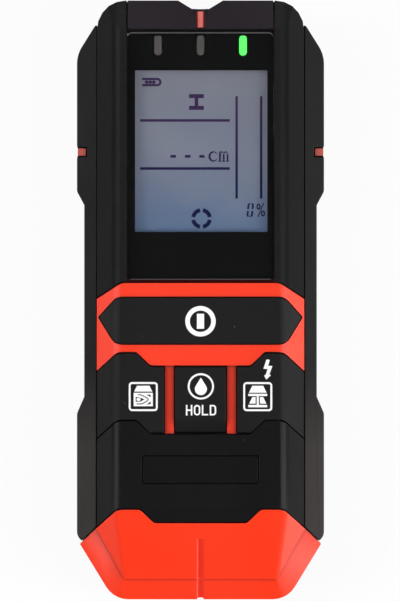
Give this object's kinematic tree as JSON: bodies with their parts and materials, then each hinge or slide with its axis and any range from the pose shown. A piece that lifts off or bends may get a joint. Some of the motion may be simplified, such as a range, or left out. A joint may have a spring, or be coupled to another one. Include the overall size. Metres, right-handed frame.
{
  "type": "stud finder",
  "caption": "Hand-held wall scanner with a display window, indicator lights, push buttons, sighting marks, side grips, a sloped nose and a hinged battery door.",
  "frame": {"origin": "centre of the part's footprint, on the surface that its glide pads rest on", "axes": "+X to the right of the display, +Y towards the display end, +Z out of the face"},
  "size_m": [0.0694, 0.168, 0.0322],
  "materials": {
    "red_plastic": "satin moulded red-orange",
    "black_plastic": "fine matte moulding",
    "black_rubber": "soft matte overmould",
    "clear_acrylic": "polished clear window",
    "mask_black": "printed gloss black",
    "lcd_glass": "blue-grey display glass",
    "white_plastic": "white diffuser",
    "lamp_grey": "smoked light pipe, unlit",
    "lamp_green": "light pipe lit green",
    "board_green": "green solder mask",
    "chip_black": "moulded black",
    "copper": "bare copper",
    "steel": "bright steel",
    "zinc_black": "black zinc plate",
    "battery_wrap": "plain dark wrap",
    "lead_red": "red insulation",
    "lead_black": "black insulation",
    "lead_white": "white insulation"
  },
  "bodies": {
    "case": {"back_cover": "black_plastic", "battery": "battery_wrap", "board_link": "chip_black", "board_screw_1": "steel", "board_screw_2": "steel", "board_screw_3": "steel", "board_screw_4": "steel", "buzzer": "chip_black", "case_screw_1": "zinc_black", "case_screw_2": "zinc_black", "case_screw_3": "zinc_black", "case_screw_4": "zinc_black", "centre_marker": "red_plastic", "controller_chip": "chip_black", "display_lens": "clear_acrylic", "display_mask": "mask_black", "front_shell": "red_plastic", "glide_pad_bottom_left": "black_rubber", "glide_pad_bottom_right": "black_rubber", "glide_pad_top_left": "black_rubber", "glide_pad_top_right": "black_rubber", "grip_left": "black_rubber", "grip_right": "black_rubber", "label_plate": "black_plastic", "lcd_backlight": "white_plastic", "lcd_frame": "white_plastic", "lcd_panel": "lcd_glass", "lead_moisture": "lead_white", "lead_negative": "lead_black", "lead_positive": "lead_red", "led_centre": "lamp_grey", "led_left": "lamp_grey", "led_right": "lamp_green", "light_pipe_centre": "lamp_grey", "light_pipe_left": "lamp_grey", "light_pipe_right": "lamp_green", "lower_panel": "black_plastic", "main_board": "board_green", "moisture_plate": "copper", "sensor_board": "board_green", "sensor_coil": "copper", "snap_connector": "chip_black", "stud_plate_left": "copper", "stud_plate_right": "copper", "switch_hold": "chip_black", "switch_metal": "chip_black", "switch_power": "chip_black", "switch_wood": "chip_black", "top_bridge": "black_plastic", "upper_bezel": "black_plastic"},
    "power_button": {"power_button": "black_plastic", "plunger_power": "steel"},
    "wood_button": {"wood_button": "black_plastic", "plunger_wood": "steel"},
    "hold_button": {"hold_button": "black_plastic", "plunger_hold": "steel"},
    "metal_button": {"metal_button": "black_plastic", "plunger_metal": "steel"},
    "battery_door": {"battery_door": "black_plastic"}
  },
  "joints": [
    {"name": "power_press", "type": "slide", "parent": "case", "child": "power_button", "axis": [0, 0, -1], "range_m": [0, 0.0006], "stiffness_N_per_m": 1500},
    {"name": "wood_press", "type": "slide", "parent": "case", "child": "wood_button", "axis": [0, 0, -1], "range_m": [0, 0.0006], "stiffness_N_per_m": 1500},
    {"name": "hold_press", "type": "slide", "parent": "case", "child": "hold_button", "axis": [0, 0, -1], "range_m": [0, 0.0006], "stiffness_N_per_m": 1500},
    {"name": "metal_press", "type": "slide", "parent": "case", "child": "metal_button", "axis": [0, 0, -1], "range_m": [0, 0.0006], "stiffness_N_per_m": 1500},
    {"name": "door_hinge", "type": "hinge", "parent": "case", "child": "battery_door", "pos_m": [0, 0.0014, 0.0015], "axis": [1, 0, 0], "range_deg": [0, 95]}
  ]
}
